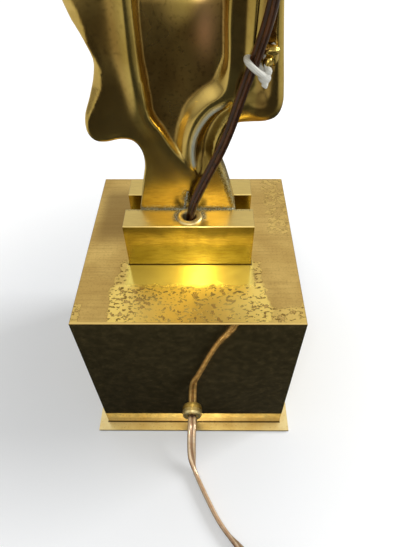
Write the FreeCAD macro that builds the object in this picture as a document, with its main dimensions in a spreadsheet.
"""Figural table lamp: a hollow-backed bronze relief on a brass cube, with a lampholder, a shade and its mains lead.

Millimetres. +Z is up and the origin is the middle of the underside, on the surface that the lamp stands on.
+Y is the front of the lamp, where the figure faces. The rear, with both lead bushes, looks along -Y.
Every driving dimension is a cell of the sheet Sizes, and a Size carries its formula and its number together.
"""

import FreeCAD
import Part
import Sketcher
import math
import os
from FreeCAD import Placement, Rotation, Vector

doc = FreeCAD.newDocument("figural_table_lamp")
sheet = doc.addObject("Spreadsheet::Sheet", "Sizes")


class Size:
    """A dimension as the formula that binds a property and as the number that code works with."""

    def __init__(self, text, number):
        self.text = text
        self.number = float(number)

    @staticmethod
    def of(value):
        return value if isinstance(value, Size) else Size(repr(float(value)), value)

    def __add__(self, other):
        other = Size.of(other)
        return Size(f"({self.text} + {other.text})", self.number + other.number)

    def __sub__(self, other):
        other = Size.of(other)
        return Size(f"({self.text} - {other.text})", self.number - other.number)

    def __mul__(self, other):
        other = Size.of(other)
        return Size(f"({self.text} * {other.text})", self.number * other.number)

    def __truediv__(self, other):
        other = Size.of(other)
        return Size(f"({self.text} / {other.text})", self.number / other.number)

    def __radd__(self, other):
        return Size.of(other) + self

    def __rsub__(self, other):
        return Size.of(other) - self

    def __rmul__(self, other):
        return Size.of(other) * self

    def __neg__(self):
        return Size.of(0) - self


def size(alias, value):
    """Puts one driving dimension in the next row of the sheet."""
    size.row += 1
    sheet.set(f"A{size.row}", alias)
    sheet.set(f"B{size.row}", repr(value))
    sheet.setAlias(f"B{size.row}", alias)
    return Size(f"Sizes.{alias}", value)


size.row = 0

# Fits between pieces
running = size("running_clearance", 0.1)
seat = size("seat_clearance", 0.2)

# Base and plinth
felt_thick = size("felt_thick", 0.8)
felt_inset = size("felt_inset", 4.0)
plate_side = size("plate_side", 132.0)
plate_thick = size("plate_thick", 1.5)
plinth_side = size("plinth_side", 120.0)
plinth_wall = size("plinth_wall", 2.0)
edge_break = size("edge_break", 0.5)
ballast_width = size("ballast_width", 100.0)
ballast_depth = size("ballast_depth", 76.0)
ballast_height = size("ballast_height", 45.0)
ballast_corner = size("ballast_corner", 6.0)

# Block that carries the figure
block_width = size("block_width", 68.0)
block_depth = size("block_depth", 40.0)
block_height = size("block_height", 28.5)
block_shift = size("block_shift", 0.4)
groove_width = size("groove_width", 12.0)
groove_depth = size("groove_depth", 12.0)

# Rod, washer, nut and screws
rod_radius = size("rod_radius", 4.0)
rod_grip = size("rod_grip", 12.0)
washer_radius = size("washer_radius", 11.0)
washer_thick = size("washer_thick", 1.6)
nut_across = size("nut_across", 13.0)
nut_height = size("nut_height", 6.5)
rod_tail = size("rod_tail", 2.0)
screw_radius = size("screw_radius", 2.0)
screw_head = size("screw_head", 3.8)
screw_length = size("screw_length", 13.0)
screw_pitch_x = size("screw_pitch_x", 80.0)
screw_pitch_y = size("screw_pitch_y", 56.0)

# Bushes for the lead
eyelet_flange = size("eyelet_flange", 6.5)
eyelet_bore = size("eyelet_bore", 3.5)
eyelet_tube = size("eyelet_tube", 4.5)
eyelet_rise = size("eyelet_rise", 1.4)
eyelet_reach = size("eyelet_reach", 8.0)
bush_flange = size("bush_flange", 6.5)
bush_bore = size("bush_bore", 3.3)
bush_tube = size("bush_tube", 4.5)
bush_rise = size("bush_rise", 4.0)
bush_reach = size("bush_reach", 9.0)
bush_height = size("bush_height", 17.6)
bush_shift = size("bush_shift", -0.6)
bush_nut_across = size("bush_nut_across", 14.0)
bush_nut_thick = size("bush_nut_thick", 3.0)

# Leads
lead_across = size("lead_across", 4.2)
coil_radius = size("coil_radius", 44.0)
coil_pitch = size("coil_pitch", 6.2)
coil_layer = size("coil_layer", 4.8)

# Terminal block and cord clamp, which sit on the ballast
terminal_width = size("terminal_width", 20.0)
terminal_length = size("terminal_length", 18.0)
terminal_height = size("terminal_height", 13.0)
terminal_bore = size("terminal_bore", 1.9)
terminal_x = size("terminal_x", -24.0)
terminal_y = size("terminal_y", 6.0)
clamp_thick = size("clamp_thick", 1.2)
clamp_length = size("clamp_length", 9.0)
clamp_foot = size("clamp_foot", 8.0)
clamp_y = size("clamp_y", -22.0)
clamp_screw = size("clamp_screw", 1.5)

# Figure
figure_height = size("figure_height", 247.2)
figure_width = size("figure_width", 88.5)
recess_depth = size("recess_depth", 5.0)
leaf_depth = size("leaf_depth", 7.5)
rim_round = size("rim_round", 1.6)
boss_radius = size("boss_radius", 7.5)
boss_drop = size("boss_drop", 26.0)
lug_radius = size("lug_radius", 2.6)
string_radius = size("string_radius", 0.85)

# Stem and lampholder
stem_radius = size("stem_radius", 5.0)
stem_bore = size("stem_bore", 3.6)
stem_socket = size("stem_socket", 20.0)
stem_rise = size("stem_rise", 42.0)
stem_slot = size("stem_slot", 6.4)
holder_radius = size("holder_radius", 19.5)
holder_wall = size("holder_wall", 1.6)
cap_height = size("cap_height", 20.0)
skirt_height = size("skirt_height", 34.0)
insert_thick = size("insert_thick", 9.0)
liner_radius = size("liner_radius", 13.9)
liner_wall = size("liner_wall", 0.5)
liner_height = size("liner_height", 20.0)
ring_radius = size("ring_radius", 27.0)
ring_thick = size("ring_thick", 6.0)

# Bulb
bulb_radius = size("bulb_radius", 30.0)
bulb_neck = size("bulb_neck", 12.6)
bulb_rise = size("bulb_rise", 49.0)
bulb_cap_radius = size("bulb_cap_radius", 13.1)
bulb_cap_height = size("bulb_cap_height", 23.0)
glass_wall = size("glass_wall", 0.9)

# Shade
shade_bottom = size("shade_bottom", 160.0)
shade_top = size("shade_top", 100.0)
shade_height = size("shade_height", 210.0)
shade_wall = size("shade_wall", 1.2)
shade_drop = size("shade_drop", 52.0)
wire_radius = size("wire_radius", 1.5)

# In-line switch
switch_length = size("switch_length", 58.0)
switch_width = size("switch_width", 24.0)
switch_base_height = size("switch_base_height", 6.5)
switch_cover_height = size("switch_cover_height", 9.5)
switch_corner = size("switch_corner", 5.0)
window_length = size("window_length", 24.0)
window_width = size("window_width", 12.0)
window_gap = size("window_gap", 0.4)
pivot_height = size("pivot_height", 13.0)
pivot_radius = size("pivot_radius", 1.5)
rocker_tilt = size("rocker_tilt", 8.0)
small_screw = size("small_screw", 1.4)

# Plug
plug_width = size("plug_width", 35.0)
plug_length = size("plug_length", 36.0)
plug_thick = size("plug_thick", 13.7)
plug_tail = size("plug_tail", 13.0)
pin_radius = size("pin_radius", 2.0)
pin_length = size("pin_length", 19.0)
pin_pitch = size("pin_pitch", 18.6)

# Heights that follow from the stack
plate_z = felt_thick
plinth_z = plate_z + plate_thick
plinth_top = plinth_z + plinth_side
block_top = plinth_top + block_height
groove_floor = block_top - groove_depth
ballast_top = plinth_z + ballast_height
figure_top = block_top + figure_height
holder_z = figure_top + stem_rise
ring_z = holder_z + cap_height + ring_thick + 2
collar_z = ring_z + ring_thick
shade_z = collar_z - shade_drop
insert_z = holder_z + cap_height - 4
liner_z = insert_z + insert_thick
bulb_z = liner_z + 2.6
groove_back = block_shift - groove_width / 2
strip_y = (groove_back + block_shift - block_depth / 2) / 2
bush_y = -(plinth_side / 2)
bush_z = plinth_z + bush_height
eyelet_x = size("eyelet_x", 0.4)


def bind(thing, **formulas):
    """Binds properties to formulas; two underscores in a keyword stand for a dot."""
    for prop, value in formulas.items():
        thing.setExpression(prop.replace("__", "."), Size.of(value).text)


def put(thing, x=0, y=0, z=0, turn=None):
    """Places an object: turn is (axis, degrees), and the position is bound to the sheet."""
    if turn:
        thing.Placement = Placement(Vector(), Rotation(Vector(*turn[0]), turn[1]))
    bind(thing, Placement__Base__x=x, Placement__Base__y=y, Placement__Base__z=z)
    return thing


def box(name, length, width, height, x, y, z):
    """A Part box with its low corner at x, y, z."""
    thing = doc.addObject("Part::Box", name)
    bind(thing, Length=length, Width=width, Height=height)
    return put(thing, x, y, z)


def middle_box(name, length, width, height, x, y, z):
    """A Part box centred on x and y."""
    return box(name, length, width, height, Size.of(x) - length / 2, Size.of(y) - width / 2, z)


def rod(name, radius, height, x, y, z, turn=None):
    thing = doc.addObject("Part::Cylinder", name)
    bind(thing, Radius=radius, Height=height)
    return put(thing, x, y, z, turn)


def cone(name, low_radius, high_radius, height, x, y, z):
    thing = doc.addObject("Part::Cone", name)
    bind(thing, Radius1=low_radius, Radius2=high_radius, Height=height)
    return put(thing, x, y, z)


def cut(name, base, *tools):
    """base with every tool taken off it."""
    tool = tools[0]
    if len(tools) > 1:
        tool = doc.addObject("Part::MultiFuse", name + "_tools")
        tool.Shapes = list(tools)
    thing = doc.addObject("Part::Cut", name)
    thing.Base = base
    thing.Tool = tool
    return thing


def group(name, things):
    """Separate solids that share one node."""
    thing = doc.addObject("Part::Compound", name)
    thing.Links = things
    return thing


def profile(body, role, corners, name):
    """A closed polygon on one of the body's own planes, with every corner bound to the sheet."""
    drawing = body.newObject("Sketcher::SketchObject", name)
    plane = next(f for f in body.Origin.OriginFeatures if f.Role == role)
    drawing.AttachmentSupport = [(plane, "")]
    drawing.MapMode = "FlatFace"
    corners = [(Size.of(a), Size.of(b)) for a, b in corners]
    count = len(corners)
    for i, (a, b) in enumerate(corners):
        c, d = corners[(i + 1) % count]
        start = Vector(a.number, b.number, 0)
        drawing.addGeometry(Part.LineSegment(start, Vector(c.number, d.number, 0)), False)
    for i in range(count):
        drawing.addConstraint(Sketcher.Constraint("Coincident", i, 2, (i + 1) % count, 1))
    for i, corner in enumerate(corners):
        for value, word, axis in zip(corner, ("DistanceX", "DistanceY"), (-2, -1)):
            if value.number == 0:
                drawing.addConstraint(Sketcher.Constraint("PointOnObject", i, 1, axis))
                continue
            ends = (-1, 1, i, 1) if value.number > 0 else (i, 1, -1, 1)
            held = drawing.addConstraint(Sketcher.Constraint(word, *ends, abs(value.number)))
            formula = value if value.number > 0 else -value
            drawing.setExpression(f"Constraints[{held}]", formula.text)
    return drawing


def turned(name, corners):
    """A body turned about Z from corners given as (radius, height)."""
    body = doc.addObject("PartDesign::Body", name)
    drawing = profile(body, "XZ_Plane", corners, name + "_profile")
    turn = body.newObject("PartDesign::Revolution", name + "_turn")
    turn.Profile = drawing
    turn.ReferenceAxis = (drawing, ["V_Axis"])
    turn.Angle = 360
    return body


def ring_corners(inner, outer, low, high):
    return [(inner, low), (outer, low), (outer, high), (inner, high)]


def pad(name, role, corners, length, middle=False):
    """A body padded from a polygon; middle centres it on the sketch's plane."""
    body = doc.addObject("PartDesign::Body", name)
    drawing = profile(body, role, corners, name + "_profile")
    feature = body.newObject("PartDesign::Pad", name + "_pad")
    feature.Profile = drawing
    feature.SideType = "Symmetric" if middle else "One side"
    bind(feature, Length=length)
    return body


def rectangle(width, depth):
    return [
        (-(width / 2), -(depth / 2)),
        (width / 2, -(depth / 2)),
        (width / 2, depth / 2),
        (-(width / 2), depth / 2),
    ]


def soften(body, radius, wanted, kind="Fillet"):
    """Rounds or chamfers the edges of the body's last feature that wanted(edge) picks."""
    doc.recompute()
    base = body.Tip
    names = [f"Edge{i + 1}" for i, edge in enumerate(base.Shape.Edges) if wanted(edge)]
    feature = body.newObject(f"PartDesign::{kind}", f"{body.Name}_{kind}_{len(body.Group)}")
    feature.Base = (base, names)
    bind(feature, **{"Radius" if kind == "Fillet" else "Size": radius})
    return body


def upright(edge):
    """Whether an edge runs along Z."""
    start, end = edge.Vertexes[0].Point, edge.Vertexes[-1].Point
    return abs(start.z - end.z) > 0.5 and math.hypot(start.x - end.x, start.y - end.y) < 0.01


def at_height(z):
    """Picks the edges that lie flat at a height in the body's own frame."""
    return lambda edge: all(abs(v.Point.z - z) < 0.01 for v in edge.Vertexes)


def solid(name, shape):
    """A Part::Feature for the forms that no parametric feature fits."""
    thing = doc.addObject("Part::Feature", name)
    thing.Shape = shape
    return thing


def route(points):
    """Straight runs joined by tangent arcs, and the radii of the arcs."""
    points = [Vector(*p) for p in points]
    arcs, radii = [], []
    for before, corner, after in zip(points, points[1:], points[2:]):
        back, ahead = before - corner, after - corner
        half = (math.pi - back.getAngle(ahead)) / 2
        radius = 0.45 * min(back.Length, ahead.Length) / math.tan(half)
        leg = radius * math.tan(half)
        back.normalize()
        ahead.normalize()
        inward = back + ahead
        inward.normalize()
        middle = corner + inward * (radius / math.cos(half) - radius)
        arcs.append((corner + back * leg, middle, corner + ahead * leg))
        radii.append(radius)
    edges, here = [], points[0]
    for start, middle, end in arcs:
        edges.append(Part.LineSegment(here, start).toShape())
        edges.append(Part.Arc(start, middle, end).toShape())
        here = end
    edges.append(Part.LineSegment(here, points[-1]).toShape())
    return Part.Wire(edges), radii


def swept(wire, radius):
    """A round tube along a wire, checked against its section times its length."""
    start = wire.Edges[0]
    direction = start.tangentAt(start.FirstParameter)
    circle = Part.Wire([Part.Circle(start.valueAt(start.FirstParameter), direction, radius).toShape()])
    tube = wire.makePipeShell([circle], True, False)
    expected = math.pi * radius**2 * wire.Length
    if abs(tube.Volume - expected) > 0.01 * expected:
        raise ValueError(f"tube volume {tube.Volume:.1f}, expected {expected:.1f}")
    return tube


def lead(name, points):
    """A stretch of lead along its route; prints its length and radii."""
    wire, radii = route(points)
    print(f"{name}: {wire.Length:.0f} mm, radii " + " ".join(f"{r:.0f}" for r in radii))
    lead.total[name] = wire.Length
    return solid(name, swept(wire, lead_across.number / 2))


lead.total = {}


def felt_pad():
    side = plate_side - felt_inset * 2
    return pad("felt_pad", "XY_Plane", rectangle(side, side), felt_thick)


def base_screw_places():
    return [
        (screw_pitch_x / 2 * i, screw_pitch_y / 2 * k)
        for i in (-1, 1)
        for k in (-1, 1)
    ]


def base_plate():
    blank = pad("base_plate_blank", "XY_Plane", rectangle(plate_side, plate_side), plate_thick)
    put(blank, 0, 0, plate_z)
    sinks = [
        cone(f"sink_{i}", screw_head + running, screw_radius + running, plate_thick, x, y, plate_z)
        for i, (x, y) in enumerate(base_screw_places())
    ]
    return cut("base_plate", blank, *sinks)


def base_screws():
    screws = []
    for i, (x, y) in enumerate(base_screw_places()):
        corners = [
            (0, 0),
            (screw_head, 0),
            (screw_radius, plate_thick),
            (screw_radius, screw_length),
            (0, screw_length),
        ]
        screws.append(put(turned(f"base_screw_{i}", corners), x, y, plate_z))
    return group("base_screws", screws)


def plinth_shell():
    """The brass cube: five walls, open below, with holes for the rod, the riser and the rear bush."""
    cube = pad("plinth_cube", "XY_Plane", rectangle(plinth_side, plinth_side), plinth_side)
    soften(cube, edge_break, at_height(plinth_side.number), "Chamfer")
    put(cube, 0, 0, plinth_z)
    inner = plinth_side - plinth_wall * 2
    hollow = middle_box("plinth_hollow", inner, inner, plinth_side - plinth_wall, 0, 0, plinth_z)
    top_wall = plinth_top - plinth_wall * 2
    rod_hole = rod("plinth_rod_hole", rod_radius + seat, plinth_wall * 4, 0, 0, top_wall)
    lead_hole = rod("plinth_lead_hole", eyelet_tube + running, plinth_wall * 4, eyelet_x, strip_y, top_wall)
    bush_hole = rod(
        "plinth_bush_hole",
        bush_tube + running,
        plinth_wall * 4,
        bush_shift,
        bush_y + plinth_wall * 2,
        bush_z,
        ((1, 0, 0), 90),
    )
    return cut("plinth_shell", cube, hollow, rod_hole, lead_hole, bush_hole)


def ballast_block():
    """Cast-iron weight with the rod's bore, a pocket below for its nut, and the base screws' holes."""
    casting = pad("ballast_casting", "XY_Plane", rectangle(ballast_width, ballast_depth), ballast_height)
    soften(casting, ballast_corner, upright)
    put(casting, 0, 0, plinth_z)
    pocket = washer_thick + nut_height + rod_tail * 2
    tools = [
        rod("ballast_bore", rod_radius + seat, ballast_height * 2, 0, 0, plinth_z - 1),
        rod("ballast_pocket", washer_radius + seat, pocket + 1, 0, 0, plinth_z - 1),
    ]
    for i, (x, y) in enumerate(base_screw_places()):
        tools.append(rod(f"ballast_tap_{i}", screw_radius + running, screw_length + 1, x, y, plinth_z - 1))
    return cut("ballast_block", casting, *tools)


pocket_roof = plinth_z + washer_thick + nut_height + rod_tail * 2


def tie_rod():
    top = plinth_top + rod_grip
    low = pocket_roof - washer_thick - nut_height - rod_tail
    bevel = rod_radius / 5
    corners = [
        (0, low),
        (rod_radius - bevel, low),
        (rod_radius, low + bevel),
        (rod_radius, top - bevel),
        (rod_radius - bevel, top),
        (0, top),
    ]
    return turned("tie_rod", corners)


def rod_washer():
    low = pocket_roof - washer_thick
    return turned("rod_washer", ring_corners(rod_radius + running, washer_radius, low, pocket_roof))


def hex_nut(name, across, thick, bore):
    """A hexagon nut on Z, its lower face at its own origin."""
    prism = doc.addObject("Part::Prism", name + "_hexagon")
    prism.Polygon = 6
    bind(prism, Circumradius=across / math.sqrt(3), Height=thick)
    return cut(name, prism, rod(name + "_bore", bore, thick * 3, 0, 0, -thick))


def rod_nut():
    nut = hex_nut("rod_nut", nut_across, nut_height, rod_radius + running)
    return put(nut, 0, 0, pocket_roof - washer_thick - nut_height)


def mounting_block():
    """The solid brass block with the groove for the figure's foot, seen from the side as a U."""
    rear = block_shift - block_depth / 2
    front = block_shift + block_depth / 2
    groove_front = groove_back + groove_width
    corners = [
        (rear, 0),
        (front, 0),
        (front, block_height),
        (groove_front, block_height),
        (groove_front, block_height - groove_depth),
        (groove_back, block_height - groove_depth),
        (groove_back, block_height),
        (rear, block_height),
    ]
    block = pad("block_blank", "YZ_Plane", corners, block_width, middle=True)
    soften(block, edge_break / 2, at_height(block_height.number), "Chamfer")
    put(block, 0, 0, plinth_top)
    tapped = rod("block_tapping", rod_radius + running, rod_grip + 2, 0, 0, plinth_top - 1)
    bore = rod("block_bore", eyelet_tube + running, block_height * 3, eyelet_x, strip_y, plinth_top - 1)
    return cut("mounting_block", block, tapped, bore)


def bush_corners(bore, tube, flange, reach, rise):
    """Half section of a flanged bush: a tube below the flange, and a rolled lip on top."""
    lip = (flange - bore) / 3
    return [
        (bore, -reach),
        (tube, -reach),
        (tube, 0),
        (flange, 0),
        (flange, rise * 0.55),
        (flange - lip * 0.45, rise * 0.9),
        (flange - lip, rise),
        (bore + lip * 0.9, rise),
        (bore + lip * 0.3, rise * 0.85),
        (bore, rise * 0.5),
    ]


def eyelet():
    bush = turned("eyelet", bush_corners(eyelet_bore, eyelet_tube, eyelet_flange, eyelet_reach, eyelet_rise))
    return put(bush, eyelet_x, strip_y, block_top)


def rear_bush():
    bush = turned("rear_bush", bush_corners(bush_bore, bush_tube, bush_flange, bush_reach, bush_rise))
    return put(bush, bush_shift, bush_y, bush_z, ((1, 0, 0), 90))


def rear_bush_nut():
    nut = hex_nut("rear_bush_nut", bush_nut_across, bush_nut_thick, bush_tube + running)
    return put(nut, bush_shift, bush_y + plinth_wall + bush_nut_thick, bush_z, ((1, 0, 0), 90))


def terminal_block():
    """Two-way connector, its wire ways along Y and its screws from above."""
    rear = terminal_y - terminal_length / 2
    body = middle_box(
        "terminal_body", terminal_width, terminal_length, terminal_height, terminal_x, terminal_y, ballast_top
    )
    tools = []
    for i, side in enumerate((-1, 1)):
        x = terminal_x + terminal_width / 4 * side
        way = rod(
            f"terminal_way_{i}", terminal_bore, terminal_length * 2, x, rear - 5, ballast_top + 5, ((1, 0, 0), -90)
        )
        tools.append(way)
        for k, part in enumerate((-1, 1)):
            y = terminal_y + terminal_length / 4 * part
            tools.append(rod(f"terminal_screw_{i}{k}", terminal_bore - 0.3, terminal_height, x, y, ballast_top + 5))
    return cut("terminal_block", body, *tools)


clamp_screw_reach = 4.0


def cord_clamp():
    """Saddle over the lead, in section an arch with two feet."""
    half = lead_across / 2 + seat
    rise = lead_across + seat
    arm = half + clamp_thick
    foot = arm + clamp_foot
    corners = [
        (-foot, 0),
        (-half, 0),
        (-half, rise),
        (half, rise),
        (half, 0),
        (foot, 0),
        (foot, clamp_thick),
        (arm, clamp_thick),
        (arm, rise + clamp_thick),
        (-arm, rise + clamp_thick),
        (-arm, clamp_thick),
        (-foot, clamp_thick),
    ]
    saddle = pad("clamp_strip", "XZ_Plane", corners, clamp_length, middle=True)
    put(saddle, terminal_x, clamp_y, ballast_top)
    holes = [
        rod(f"clamp_hole_{i}", clamp_screw + running, clamp_thick * 3, x, clamp_y, ballast_top - 1)
        for i, x in enumerate(clamp_screw_places())
    ]
    return cut("cord_clamp", saddle, *holes)


def clamp_screw_places():
    reach = lead_across / 2 + seat + clamp_thick + clamp_foot / 2
    return [terminal_x - reach, terminal_x + reach]


def clamp_screws():
    screws = []
    for i, x in enumerate(clamp_screw_places()):
        head = clamp_screw * 1.8
        corners = [
            (0, 0),
            (clamp_screw, 0),
            (clamp_screw, clamp_thick),
            (head, clamp_thick),
            (head, clamp_thick + 1.2),
            (head * 0.6, clamp_thick + 2),
            (0, clamp_thick + 2),
        ]
        screws.append(put(turned(f"clamp_screw_{i}", corners), x, clamp_y, ballast_top))
    return group("clamp_screws", screws)


def inner_lead():
    """The mains lead from the rear bush over the ballast, under the clamp and into the terminal block."""
    lie = ballast_top.number + lead_across.number / 2 + 0.15
    x = terminal_x.number
    rear = bush_y.number
    points = [
        (bush_shift.number, rear - bush_rise.number, bush_z.number),
        (bush_shift.number, rear + 13.5, bush_z.number),
        (x + 4, rear + 13.5, bush_z.number + 24),
        (x, rear + 17, lie + 5),
        (x, rear + 26, lie),
        (x, terminal_y.number - terminal_length.number / 2, lie),
    ]
    return lead("inner_lead", points)


# Outline of the relief as (across, height above the block), seen from the rear, up the left side and down the right
FOOT_LEFT = -26.2
FOOT_RIGHT = 24.6
OUTLINE = [
    (FOOT_LEFT, 0), (-24.2, 10), (-22.2, 20), (-20.7, 28), (-21.4, 35), (-25.0, 40.2), (-30.5, 41.2),
    (-37.5, 39.8), (-42.6, 40.5), (-45.4, 45), (-44.9, 52.5), (-41.3, 61), (-37.9, 70), (-36.5, 77.5),
    (-38.6, 84.5), (-42.6, 92), (-44.4, 99), (-43.6, 108), (-40.0, 121), (-35.5, 134), (-31.8, 149),
    (-31.2, 163), (-33.8, 176), (-35.0, 187), (-31.5, 199), (-23.5, 209), (-17.8, 217), (-16.2, 227),
    (-13.0, 238), (-7.0, 245), (0, 247.2), (7.0, 245), (13.0, 238), (16.2, 227), (18.2, 216),
    (25.5, 206.5), (32.3, 196), (34.3, 184), (32.2, 171), (30.0, 157), (31.0, 143), (34.0, 127.5),
    (36.6, 112), (38.2, 98.5), (40.2, 82), (42.2, 66.5), (42.8, 58), (40.8, 52.2), (36.0, 49.8),
    (29.0, 49.4), (23.0, 48.6), (18.2, 44.0), (15.7, 36.5), (16.2, 28.5), (19.2, 19.6), (22.4, 8.5),
    (FOOT_RIGHT, 0),
]  # fmt: skip

# Hollow behind the drapery, from its tip at the leg up the ridge on the left and down the right rim
RECESS = [
    (-5.6, 36.0), (-11.6, 44.2), (-16.0, 54.0), (-17.6, 66), (-17.8, 82), (-17.4, 100),
    (-17.0, 122), (-15.6, 148), (-13.4, 170), (-8.0, 187), (0, 192.5), (8.5, 188), (17.0, 176),
    (22.5, 158), (26.5, 136), (30.0, 114), (33.8, 92), (36.4, 76), (34.0, 66.5), (26.5, 65.2),
    (18.5, 64.6), (11.0, 60.2), (4.6, 53.0), (0.6, 44.4), (-1.6, 37.6),
]  # fmt: skip

# Leaf-shaped hollow beside the leg
LEAF = [
    (5.2, 22.1), (3.2, 31), (3.7, 40), (7.9, 49.8), (13.6, 55.8), (20.4, 60.0),
    (19.6, 54.0), (15.0, 47.5), (12.6, 38.0), (12.3, 28.5), (9.2, 22.6),
]  # fmt: skip

# Sections of the draped front: (height, middle, half width, relief)
DRAPERY = [
    (50, -1.0, 31.0, 7.0), (72, 0.0, 30.0, 12.0), (102, -2.0, 31.0, 15.0), (132, -1.0, 26.5, 14.0),
    (158, 0.0, 22.0, 12.5), (176, 0.0, 24.0, 15.0), (190, 0.0, 26.0, 14.5), (202, 0.0, 20.0, 11.5),
    (210, 0.0, 9.0, 10.0), (217, 0.0, 6.2, 9.0),
]  # fmt: skip

# Main folds of the drapery, each from the waist to the hem as (across, height)
FOLDS = [
    [(-7, 156), (-13, 132), (-20, 104), (-25, 76), (-26, 56)],
    [(-1, 152), (-4, 128), (-9, 102), (-11, 76), (-10, 54)],
    [(6, 156), (8, 130), (7, 104), (6, 78), (8, 54)],
    [(12, 156), (17, 130), (20, 104), (23, 80), (24, 58)],
]


def figure_casting():
    """The hollow-backed relief: outlined plate, draped front, ridge, hollows, foot, lug and stem socket."""
    across = figure_width.number / 88.5
    tall = figure_height.number / 247.2
    base_z = block_top.number
    back = (groove_back + running).number
    front = (groove_back + groove_width - running).number

    def point(x, height, y):
        return Vector(x * across, y, base_z + height * tall)

    def outline_face(points, y, foot=False):
        curve = Part.BSplineCurve()
        corners = [point(a, b, y) for a, b in points]
        if not foot:
            curve.interpolate(Points=corners, PeriodicFlag=True)
            return Part.Face(Part.Wire([curve.toShape()]))
        curve.interpolate(Points=corners)
        sole = (groove_floor + seat).number
        right = Vector(corners[-1].x, y, sole)
        left = Vector(corners[0].x, y, sole)
        edges = [
            curve.toShape(),
            Part.LineSegment(corners[-1], right).toShape(),
            Part.LineSegment(right, left).toShape(),
            Part.LineSegment(left, corners[0]).toShape(),
        ]
        return Part.Face(Part.Wire(edges))

    def plate_part():
        plate = outline_face(OUTLINE, back, foot=True).extrude(Vector(0, front - back, 0))
        rim = [e for e in plate.Edges if e.Curve.TypeId == "Part::GeomBSplineCurve" and e.Length > 300]
        return plate.makeFillet(rim_round.number, rim)

    def drapery(shrink=0.0, low=0, high=300):
        rings = []
        for height, middle, half, relief in DRAPERY:
            if low <= height <= high:
                reach, depth = half - shrink, relief + 2 - shrink
                turns = [math.radians(30 * k) for k in range(12)]
                ring = Part.BSplineCurve()
                ring.interpolate(
                    Points=[point(middle + reach * math.cos(a), height, front - 2 + depth * math.sin(a)) for a in turns],
                    PeriodicFlag=True,
                )
                rings.append(Part.Wire([ring.toShape()]))
        ahead = Part.makeBox(200, 100, 800, Vector(-100, back + 1, 0))
        return Part.makeLoft(rings, True, False).common(ahead)

    def front_at(x, height):
        """Where the drapery's surface is, between its sections."""
        for low, high in zip(DRAPERY, DRAPERY[1:]):
            if low[0] <= height <= high[0]:
                share = (height - low[0]) / (high[0] - low[0])
                middle, half, relief = (low[k] + (high[k] - low[k]) * share for k in (1, 2, 3))
                bulge = max(0.0, 1 - ((x - middle) / half) ** 2)
                return front - 2 + (relief + 2) * math.sqrt(bulge)
        return front

    def ridge_tube(points, radius):
        wire, _ = route([tuple(p) for p in points])
        return swept(wire, radius)

    parts = [drapery()]
    for fold in FOLDS:
        parts.append(ridge_tube([point(x, h, front_at(x, h) - 1.8) for x, h in fold], 3.4))
    for side in (-1, 1):
        arm = [(side * 22, 13, 196), (side * 27, 17, 182), (side * 25, 20, 168), (side * 13, 24, 167), (0, 25, 172)]
        parts.append(ridge_tube([point(x, h, y) for x, y, h in arm], 4.8))
    head = Part.makeSphere(1)
    stretch = FreeCAD.Matrix()
    stretch.scale(10.2, 11.4, 14.2)
    head = head.transformGeometry(stretch)
    head.translate(point(0, 227, 13.5))
    parts.append(head)
    ridge = [(-21.6, 224, 0), (-21.5, 150, 0), (-21.9, 98, 0), (-22.0, 76, 0), (-20.6, 57, 0), (-16.6, 45, 0)]
    ridge = ridge[1:] + [(-10.6, 35.5, 0), (-5.0, 26.5, 0), (-1.2, 16.5, 0)]
    parts.append(ridge_tube([point(x, h, back + 2.0) for x, h, _ in ridge], 3.4))
    shape = plate_part().multiFuse(parts)

    hollow = outline_face(RECESS, back - 6).extrude(Vector(0, 6 + recess_depth.number, 0))
    leaf = outline_face(LEAF, back - 6).extrude(Vector(0, 6 + leaf_depth.number, 0))
    shape = shape.cut([hollow, leaf, drapery(6.5, 102, 190)])

    boss_low = figure_top.number - boss_drop.number
    boss = Part.makeCylinder(boss_radius.number, boss_drop.number + 1.5, Vector(0, 0, boss_low))
    boss_tip = Part.makeCone(1.5, boss_radius.number, 14, Vector(0, 0, boss_low - 14))
    lug = Part.makeCylinder(lug_radius.number, 6.0, Vector(LUG[0], back - 5.0, LUG[2]), Vector(0, 1, 0))
    lug_head = Part.makeSphere(lug_radius.number + 0.6, Vector(LUG[0], back - 5.0, LUG[2]))
    shape = shape.multiFuse([boss, boss_tip, lug, lug_head]).removeSplitter()
    socket_low = figure_top.number - stem_socket.number
    socket = Part.makeCylinder((stem_radius + running).number, 60, Vector(0, 0, socket_low))
    shape = shape.cut(socket)
    return solid("figure_casting", shape.Solids[0] if len(shape.Solids) == 1 else shape)


# Where the string holds the riser, and where it goes round the lug's post
TIE = (26.9, -11.5, 227.4)
LUG = (35.0, -7.8, 230.3)


def riser_flex():
    """The lead from the terminal block through the plinth and block, up the figure's back to the stem."""
    x, y = eyelet_x.number, strip_y.number
    start_y = terminal_y.number + terminal_length.number / 2
    low = ballast_top.number + lead_across.number / 2 + 0.15
    top = figure_top.number
    points = [
        (terminal_x.number, start_y, low),
        (terminal_x.number, start_y + 13, low),
        (terminal_x.number - 2, start_y + 19, low + 16),
        (terminal_x.number + 2, start_y + 6, low + 33),
        (x - 7, y + 2, low + 48),
        (x, y, low + 66),
        (x + 0.1, y - 0.1, block_top.number + 1),
        (6.6, -12.6, 170),
        (16.9, -12.0, 195),
        (24.0, -11.6, 219),
        (31.0, -11.2, 242),
        (33.8, -10.8, 266),
        (30.2, -10.6, 292),
        (22.6, -10.8, 318),
        (13.6, -11.0, 344),
        (5.4, -11.4, 369),
        (0.8, -12.0, top - 6),
        (0, -6.4, top + 14),
        (0, 0, top + 30),
        (0, 0.1, holder_z.number + 8),
    ]
    return lead("riser_flex", points)


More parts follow.
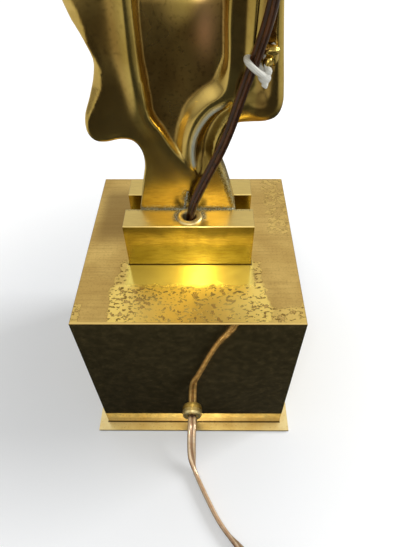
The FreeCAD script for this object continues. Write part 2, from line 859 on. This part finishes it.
def lug_tie():
    """The string round the riser, and its knot at the casting's lug."""
    middle = Vector(*TIE)
    string = string_radius.number
    low = middle + Vector(0.66, 0, -0.75) * 4.2
    loop = Part.makeTorus(4.2, string, middle, Vector(0.75, 0, 0.66))
    post = Vector(*LUG)
    knot = Vector(post.x - 0.4, middle.y + 0.4, post.z - 6.8)
    strand, _ = route([tuple(low), (low.x + 1.6, low.y, low.z - 0.4), tuple(knot)])
    riser, _ = route([tuple(knot), (post.x - 0.2, post.y - 2.4, post.z - 5.2), (post.x, post.y, post.z - 3.5)])
    tail, _ = route([tuple(knot), (knot.x + 0.9, knot.y, knot.z - 3), (knot.x - 1.0, knot.y, knot.z - 6)])
    shape = loop.multiFuse(
        [
            swept(strand, string),
            swept(riser, string),
            swept(tail, string),
            Part.makeSphere(string * 2.2, knot),
            Part.makeTorus(lug_radius.number + 1.1, string, post, Vector(0, 1, 0)),
        ]
    )
    return solid("lug_tie", shape.removeSplitter().Solids[0])


def stem_tube():
    low = figure_top - stem_socket
    high = holder_z + 7
    shoulder = stem_radius - 0.4
    corners = [
        (stem_bore, low),
        (stem_radius, low),
        (stem_radius, holder_z),
        (shoulder, holder_z),
        (shoulder, high),
        (stem_bore, high),
    ]
    tube = turned("stem_blank", corners)
    slot = box("stem_way", stem_slot, stem_radius * 2, 26, -(stem_slot / 2), -(stem_radius * 2), figure_top + 4)
    return cut("stem_tube", tube, slot)


def stem_collar():
    """Knurled check nut that locks the stem in the casting's socket."""
    low = figure_top + 1.5
    return turned("stem_collar", ring_corners(stem_radius + running, stem_radius * 1.36, low, low + 2.4))


def lampholder_cap():
    inner = holder_radius - holder_wall
    z = holder_z
    corners = [
        (stem_radius - 0.3, z),
        (8, z),
        (holder_radius - 3.5, z + 6),
        (holder_radius, z + 12),
        (holder_radius, z + cap_height),
        (inner, z + cap_height),
        (inner, z + 12.6),
        (inner - 3.4, z + 7.4),
        (8, z + holder_wall),
        (stem_radius - 0.3, z + holder_wall),
    ]
    return turned("lampholder_cap", corners)


def lampholder_skirt():
    z = holder_z + cap_height
    inner = holder_radius - holder_wall
    return turned("lampholder_skirt", ring_corners(inner, holder_radius, z, z + skirt_height))


def lampholder_insert():
    outer = holder_radius - holder_wall - seat
    corners = [
        (0, insert_z),
        (outer, insert_z),
        (outer, liner_z),
        (liner_radius - 2, liner_z),
        (liner_radius - 2, liner_z - 1.5),
        (0, liner_z - 1.5),
    ]
    return turned("lampholder_insert", corners)


def screw_liner():
    inner = liner_radius - liner_wall
    return turned("screw_liner", ring_corners(inner, liner_radius, liner_z, liner_z + liner_height))


def centre_contact():
    low = liner_z - 1.5
    corners = [(0, low), (5, low), (5, low + 1), (3, low + 1), (2, bulb_z - 0.1), (0, bulb_z - 0.1)]
    return turned("centre_contact", corners)


def shade_ring(name, low):
    corners = [
        (holder_radius + running, low),
        (ring_radius, low),
        (ring_radius, low + ring_thick - 1.2),
        (ring_radius - 1.2, low + ring_thick),
        (holder_radius + running, low + ring_thick),
    ]
    return turned(name, corners)


def bulb_cap():
    """Screw cap with its rolled thread as ridges, and the contact button at its foot."""
    ridge = bulb_cap_radius
    root = bulb_cap_radius - 0.8
    step = (bulb_cap_height - 8) / 8
    corners = [(0, 0), (4, 0), (4.4, 1.2), (9.5, 3.4), (root, 5)]
    for i in range(4):
        corners.append((ridge, 5 + step * (2 * i + 1)))
        corners.append((root, 5 + step * (2 * i + 2)))
    corners += [(root, bulb_cap_height), (0, bulb_cap_height)]
    return put(turned("bulb_cap", corners), 0, 0, bulb_z)


def bulb_glass():
    """Opal envelope: a sphere that flows into its neck, with a wall of even thickness."""
    low = (bulb_z + bulb_cap_height).number
    ball, neck, wall = bulb_radius.number, bulb_neck.number, glass_wall.number
    middle = low + bulb_rise.number

    def half_section(ball, neck):
        waist = Vector(ball * math.sin(math.radians(128)), 0, middle + ball * math.cos(math.radians(128)))
        side = Vector(ball, 0, middle)
        crown = Vector(ball * math.sin(math.radians(45)), 0, middle + ball * math.cos(math.radians(45)))
        flank = Vector(ball * math.sin(math.radians(110)), 0, middle + ball * math.cos(math.radians(110)))
        foot = Vector(neck, 0, low)
        throat = Vector((waist.x + neck) / 2 - 1.6, 0, (waist.z + low) / 2)
        return [
            Part.Arc(foot, throat, waist).toShape(),
            Part.Arc(waist, flank, side).toShape(),
            Part.Arc(side, crown, Vector(0, 0, middle + ball)).toShape(),
        ]

    outer = half_section(ball, neck)
    inner = half_section(ball - wall, neck - wall)
    ends = [
        Part.LineSegment(Vector(0, 0, middle + ball), Vector(0, 0, middle + ball - wall)).toShape(),
        Part.LineSegment(Vector(neck - wall, 0, low), Vector(neck, 0, low)).toShape(),
    ]
    face = Part.Face(Part.Wire(Part.__sortEdges__(outer + inner + ends)))
    return solid("bulb_glass", face.revolve(Vector(), Vector(0, 0, 1), 360))


def shade_slope():
    return (shade_bottom.number - shade_top.number) / shade_height.number


def shade_cover():
    """Laminated cone, as a thin wall open above and below."""
    low, high = shade_z, shade_z + shade_height
    corners = [
        (shade_bottom - shade_wall, low),
        (shade_bottom, low),
        (shade_top, high),
        (shade_top - shade_wall, high),
    ]
    return turned("shade_cover", corners)


def wire_place(z):
    """The radius of a wire ring that lies just inside the cover at a height."""
    inner = shade_bottom.number - shade_wall.number - shade_slope() * (z - shade_z.number)
    return inner - (wire_radius.number + 0.15) * math.hypot(1, shade_slope())


def shade_top_ring():
    z = (shade_z + shade_height).number - wire_radius.number - 1
    return solid("shade_top_ring", Part.makeTorus(wire_place(z), wire_radius.number, Vector(0, 0, z)))


def shade_spider():
    """Bottom ring, three arms and the collar between the two shade rings, welded as one piece."""
    wire = wire_radius.number
    low = shade_z.number + wire + 1
    level = collar_z.number + wire
    reach = wire_place(low)
    hole = (holder_radius + seat).number
    collar = Part.makeCylinder(hole + 5, wire * 2, Vector(0, 0, collar_z.number))
    collar = collar.cut(Part.makeCylinder(hole, wire * 4, Vector(0, 0, collar_z.number - wire)))
    parts = [Part.makeTorus(reach, wire, Vector(0, 0, low))]
    for turn in (90, 210, 330):
        along = Vector(math.cos(math.radians(turn)), math.sin(math.radians(turn)), 0)
        bends = [(hole + 2, level), (hole + 18, level), (reach - 6, low + 4), (reach, low)]
        bends = bends[:2] + [(reach, low)]
        path, _ = route([tuple(along * r + Vector(0, 0, z)) for r, z in bends])
        parts.append(swept(path, wire * 0.98))
    shape = collar.multiFuse(parts).removeSplitter()
    return solid("shade_spider", shape.Solids[0])


# Where the in-line switch lies, as its middle and the heading of the lead through it
SWITCH_X, SWITCH_Y = 49.0, -176.0
SWITCH_HEADING = -64.0


def on_switch(thing):
    """Places a piece made in the switch's own frame: X along the lead, Z up from the floor."""
    turn = Rotation(Vector(0, 0, 1), SWITCH_HEADING)
    thing.Placement = Placement(Vector(SWITCH_X, SWITCH_Y, 0), turn)
    return thing


def switch_point(along, z):
    """A point on the switch's middle line, in the lamp's frame."""
    heading = math.radians(SWITCH_HEADING)
    return (SWITCH_X + along * math.cos(heading), SWITCH_Y + along * math.sin(heading), z)


def switch_screw_places():
    reach = switch_length / 2 - 6.5
    return [-reach, reach]


def switch_entries(name):
    """The two ways that the lead enters by, half in the base and half in the cover."""
    bore = lead_across / 2 + seat
    z = switch_base_height
    return [
        rod(f"{name}_entry_in", bore, ENTRY + 2, -(switch_length / 2) - 1, 0, z, ((0, 1, 0), 90)),
        rod(f"{name}_entry_out", bore, ENTRY + 2, switch_length / 2 - ENTRY - 1, 0, z, ((0, 1, 0), 90)),
    ]


def switch_base():
    tray = pad("switch_tray", "XY_Plane", rectangle(switch_length, switch_width), switch_base_height)
    soften(tray, switch_corner, upright)
    soften(tray, Size.of(1.2), at_height(0.0))
    holes = []
    for i, x in enumerate(switch_screw_places()):
        holes.append(rod(f"switch_hole_{i}", small_screw + running, 30, x, 0, -1))
        holes.append(rod(f"switch_sink_{i}", small_screw * 2 + running, 3, x, 0, -1))
    holes += switch_entries("switch_base")
    return on_switch(cut("switch_base", tray, *holes))


def switch_cover():
    lid = pad("switch_lid", "XY_Plane", rectangle(switch_length, switch_width), switch_cover_height)
    soften(lid, switch_corner, upright)
    soften(lid, Size.of(2.4), at_height(switch_cover_height.number))
    put(lid, 0, 0, switch_base_height)
    floor = switch_base_height + 1.5
    tools = [
        middle_box("switch_window", window_length, window_width, 20, 0, 0, floor),
        rod(
            "switch_pin_way",
            pivot_radius + running / 2,
            window_width + 8.4,
            0,
            -(window_width / 2) - 4.2,
            pivot_height,
            ((1, 0, 0), -90),
        ),
    ]
    for i, x in enumerate(switch_screw_places()):
        tools.append(rod(f"switch_tap_{i}", small_screw + running, 6, x, 0, switch_base_height - 1))
    tools += switch_entries("switch_cover")
    return on_switch(cut("switch_cover", lid, *tools))


def rocker_pin():
    pin = rod("rocker_pin", pivot_radius, window_width + 8, 0, -(window_width / 2) - 4, pivot_height, ((1, 0, 0), -90))
    return on_switch(group("rocker_pin_set", [pin]))


def switch_rocker():
    """The rocker, tilted to its off stop: two raised wings over a hub that turns on the pin."""
    half = window_length / 2 - window_gap - 0.7
    corners = [
        (-half, -1.5),
        (-4, -4),
        (4, -4),
        (half, -1.5),
        (half, 4.2),
        (0, 2.6),
        (-half, 4.2),
    ]
    wing = pad("rocker_wing", "XZ_Plane", corners, window_width - window_gap * 2, middle=True)
    put(wing, 0, 0, pivot_height, ((0, 1, 0), -rocker_tilt.number))
    bore = rod("rocker_bore", pivot_radius + running / 2, 40, 0, -20, pivot_height, ((1, 0, 0), -90))
    return on_switch(cut("switch_rocker", wing, bore))


def switch_screws():
    screws = []
    for i, x in enumerate(switch_screw_places()):
        corners = [
            (0, 0.4),
            (small_screw * 2, 0.4),
            (small_screw * 2, 2),
            (small_screw, 2),
            (small_screw, 11),
            (0, 11),
        ]
        screws.append(put(turned(f"switch_screw_{i}", corners), x, 0, 0))
    return on_switch(group("switch_screws", screws))


# The mains lead's route outside the lamp, chosen along the photographed lie and then put away
LIE = lead_across.number / 2
ENTRY = 5.0
LEAD_OUT = [
    (bush_shift.number, (bush_y - bush_rise).number, bush_z.number),
    (bush_shift.number, -70.0, bush_z.number),
    (-2.4, -75.6, 9.4),
    (-1.6, -82.2, 2.9),
    (5.2, -93.0, LIE),
    (14.2, -110.0, LIE),
    (23.4, -126.4, LIE),
    (31.6, -140.2, LIE + 0.9),
    switch_point(-switch_length.number / 2 - 2, switch_base_height.number),
    switch_point(-switch_length.number / 2 + ENTRY, switch_base_height.number),
]
COIL_MIDDLE = (-6.0, -206.0)
TURNS = 6.0
TURNS_CLIMBING = 0.5


def coil_place(turn):
    """Point and direction of the coil's centreline after a number of turns: in, up a layer, and out again."""
    inward = (TURNS - TURNS_CLIMBING) / 2
    slope = coil_pitch.number / (2 * math.pi)
    inner = coil_radius.number - coil_pitch.number * inward
    low, rise = LIE, coil_layer.number
    radius, growth, z, climb = inner, 0.0, low, 0.0
    if turn <= inward:
        radius = coil_radius.number - coil_pitch.number * turn
        growth = -slope if turn < inward else -slope / 2
    elif turn < inward + TURNS_CLIMBING:
        share = (turn - inward) / TURNS_CLIMBING
        z = low + rise * (1 - math.cos(math.pi * share)) / 2
        climb = rise / 2 * math.sin(math.pi * share) * math.pi / (2 * math.pi * TURNS_CLIMBING)
    else:
        radius = inner + coil_pitch.number * (turn - inward - TURNS_CLIMBING)
        growth = slope if turn > inward + TURNS_CLIMBING else slope / 2
        z = low + rise
    angle = -math.pi / 2 - 2 * math.pi * turn
    x, y = math.cos(angle), math.sin(angle)
    place = Vector(COIL_MIDDLE[0] + radius * x, COIL_MIDDLE[1] + radius * y, z)
    direction = Vector(growth * x + radius * y, growth * y - radius * x, climb)
    direction.normalize()
    return place, direction


def arc_from(start, direction, end):
    """The arc that leaves start along direction and reaches end."""
    chord = end - start
    along = chord * (1 / chord.Length)
    aside = direction - along * direction.dot(along)
    if aside.Length < 1e-9:
        return Part.LineSegment(start, end).toShape()
    bend = direction.getAngle(along)
    aside.normalize()
    middle = start + chord * 0.5 + aside * (chord.Length / 2 * math.tan(bend / 2))
    return Part.Arc(start, middle, end).toShape()


def biarc(start, out, end, into):
    """Two arcs with one tangent where they meet."""
    gap = end - start
    total = out + into
    spread = 2 * (1 - out.dot(into))
    reach = (-gap.dot(total) + math.sqrt(gap.dot(total) ** 2 + spread * gap.dot(gap))) / spread
    joint = (start + out * reach + end - into * reach) * 0.5
    first = arc_from(start, out, joint)
    second = arc_from(end, into * -1, joint)
    return [first, second.reversed()]


def coil_ends():
    """The straight ends of the coil's tube, one diameter long: where they start and where they stop."""
    across = lead_across.number
    first, out = coil_place(0)
    last, into = coil_place(TURNS)
    return first - out * across, last + into * across


def mains_coil():
    """The put-away length, wound in two layers as one unbroken tube."""
    start, stop = coil_ends()
    quarters = int(TURNS * 4)
    stations = [coil_place(i / 4) for i in range(quarters + 1)]
    edges = [Part.LineSegment(start, stations[0][0]).toShape()]
    for (here, out), (there, into) in zip(stations, stations[1:]):
        edges += biarc(here, out, there, into)
    edges.append(Part.LineSegment(stations[-1][0], stop).toShape())
    wire = Part.Wire(edges)
    lead.total["mains_coil"] = wire.Length
    spots = wire.discretize(Number=1600)
    step = wire.Length / 1599
    apart = int(3 * lead_across.number / step)
    nearest = min(
        (spots[i] - spots[k]).Length for i in range(0, 1600, 4) for k in range(i + apart, 1600, 2)
    )
    print(f"mains_coil: {wire.Length:.0f} mm, least gap to itself {nearest - lead_across.number:.2f} mm")
    return solid("mains_coil", swept(wire, lead_across.number / 2))


def mains_lead():
    return lead("mains_lead", LEAD_OUT)


def mains_link():
    """From the switch round to the coil."""
    start, _ = coil_ends()
    _, out = coil_place(0)
    points = [
        switch_point(switch_length.number / 2 - ENTRY, switch_base_height.number),
        switch_point(switch_length.number / 2 + 2, switch_base_height.number),
        switch_point(switch_length.number / 2 + 16, LIE + 0.4),
        (68.6, -227.5, LIE),
        (58.5, -244.5, LIE),
        (38.5, -252.6, LIE),
        tuple(start - out * 18),
        tuple(start),
    ]
    return lead("mains_link", points)


def plug_back():
    """Where the lead enters the plug: its own height, a little past the coil."""
    _, stop = coil_ends()
    return Vector(stop.x - 30, stop.y + 1.0, plug_thick.number / 2)


def mains_tail():
    _, stop = coil_ends()
    _, into = coil_place(TURNS)
    end = plug_back()
    points = [tuple(stop), tuple(stop + into * 14), tuple(end), (end.x - ENTRY, end.y, end.z)]
    return lead("mains_tail", points)


def on_plug(thing):
    """Places a piece made in the plug's own frame: X away from the lead, Z up from the floor."""
    thing.Placement = Placement(Vector(plug_back().x, plug_back().y, 0), Rotation(Vector(0, 0, 1), 180))
    return thing


def plug_body():
    half, tail = plug_width / 2, plug_tail / 2
    corners = [
        (0, -tail),
        (plug_length * 0.45, -tail - 2),
        (plug_length * 0.8, -half),
        (plug_length, -half),
        (plug_length, half),
        (plug_length * 0.8, half),
        (plug_length * 0.45, tail + 2),
        (0, tail),
    ]
    body = pad("plug_blank", "XY_Plane", corners, plug_thick)

    def along_side(edge):
        return not upright(edge) and 0.5 < edge.CenterOfMass.x < plug_length.number - 0.5

    soften(body, Size.of(2.5), along_side)
    holes = [rod("plug_entry", lead_across / 2 + seat, ENTRY + 2, -1, 0, plug_thick / 2, ((0, 1, 0), 90))]
    holes += [
        rod(f"plug_hole_{i}", pin_radius + running / 2, 13, plug_length - 12, y, plug_thick / 2, ((0, 1, 0), 90))
        for i, y in enumerate((pin_pitch / 2, -(pin_pitch / 2)))
    ]
    return on_plug(cut("plug_body", body, *holes))


def plug_pins():
    pins = []
    for i, y in enumerate((pin_pitch / 2, -(pin_pitch / 2))):
        pin = rod(f"plug_pin_{i}", pin_radius, pin_length + 11, plug_length - 11, y, plug_thick / 2, ((0, 1, 0), 90))
        pins.append(pin)
    return on_plug(group("plug_pins", pins))


NODES = {
    "felt_pad": felt_pad,
    "base_plate": base_plate,
    "base_screws": base_screws,
    "plinth_shell": plinth_shell,
    "ballast_block": ballast_block,
    "tie_rod": tie_rod,
    "rod_washer": rod_washer,
    "rod_nut": rod_nut,
    "mounting_block": mounting_block,
    "eyelet": eyelet,
    "rear_bush": rear_bush,
    "rear_bush_nut": rear_bush_nut,
    "terminal_block": terminal_block,
    "cord_clamp": cord_clamp,
    "clamp_screws": clamp_screws,
    "inner_lead": inner_lead,
    "figure_casting": figure_casting,
    "riser_flex": riser_flex,
    "lug_tie": lug_tie,
    "stem_tube": stem_tube,
    "stem_collar": stem_collar,
    "lampholder_cap": lampholder_cap,
    "lampholder_skirt": lampholder_skirt,
    "lampholder_insert": lampholder_insert,
    "screw_liner": screw_liner,
    "centre_contact": centre_contact,
    "shade_ring_lower": lambda: shade_ring("shade_ring_lower", ring_z),
    "shade_ring_upper": lambda: shade_ring("shade_ring_upper", collar_z + wire_radius * 2),
    "shade_spider": shade_spider,
    "shade_top_ring": shade_top_ring,
    "shade_cover": shade_cover,
    "bulb_cap": bulb_cap,
    "bulb_glass": bulb_glass,
    "switch_base": switch_base,
    "switch_cover": switch_cover,
    "rocker_pin": rocker_pin,
    "switch_rocker": switch_rocker,
    "switch_screws": switch_screws,
    "mains_lead": mains_lead,
    "mains_link": mains_link,
    "mains_coil": mains_coil,
    "mains_tail": mains_tail,
    "plug_body": plug_body,
    "plug_pins": plug_pins,
}


def main():
    made = {name: make() for name, make in NODES.items()}
    doc.recompute()
    for thing in doc.Objects:
        if "Invalid" in thing.State or "Error" in thing.State:
            raise ValueError(f"{thing.Name} failed: {thing.State}")
    os.makedirs("parts", exist_ok=True)
    for name, thing in made.items():
        thing.Label = name
        shape = thing.Shape
        if shape.isNull() or not shape.isValid() or not shape.Solids:
            raise ValueError(f"{name} has no valid shape")
        shape.exportStep(f"parts/{name}.step")
    print(f"lead outside the lamp: {sum(v for k, v in lead.total.items() if k.startswith('mains')):.0f} mm")
    print(f"{len(made)} pieces, {sum(len(t.Shape.Solids) for t in made.values())} solids")


main()
